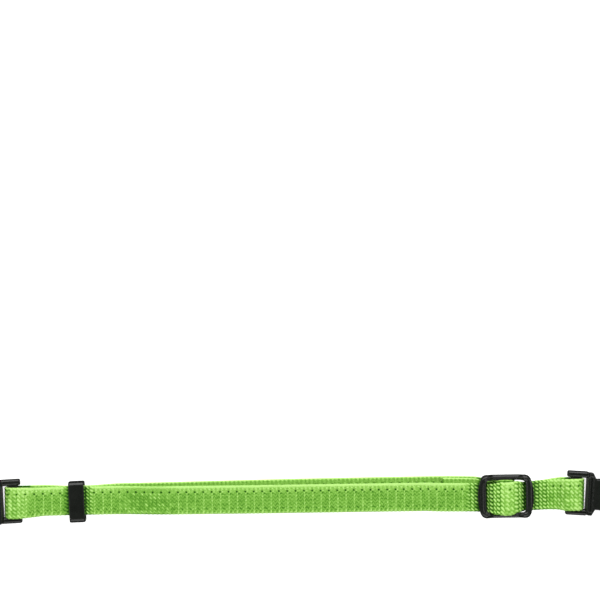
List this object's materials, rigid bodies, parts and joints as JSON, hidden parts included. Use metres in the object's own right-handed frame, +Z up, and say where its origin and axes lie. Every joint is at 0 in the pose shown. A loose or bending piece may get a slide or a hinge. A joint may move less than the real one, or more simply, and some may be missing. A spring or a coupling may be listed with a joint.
{
  "type": "dog collar",
  "caption": "Adjustable small dog's collar of knitted tape, laid open and flat, with keeper loop, slider and a side-release buckle in two halves.",
  "frame": {"origin": "under the middle of the laid-out collar, on the surface it lies on", "axes": "+X along the strap from the socket half to the prong half, +Y across it, +Z up"},
  "size_m": [0.2418, 0.017, 0.0064],
  "materials": {
    "knit_tape": "lime green knitted tape",
    "black_plastic": "satin moulded plastic"
  },
  "bodies": {
    "root": {"strap": "knit_tape", "slider": "black_plastic", "keeper": "black_plastic", "buckle_socket": "black_plastic", "buckle_prong": "black_plastic"}
  },
  "joints": []
}
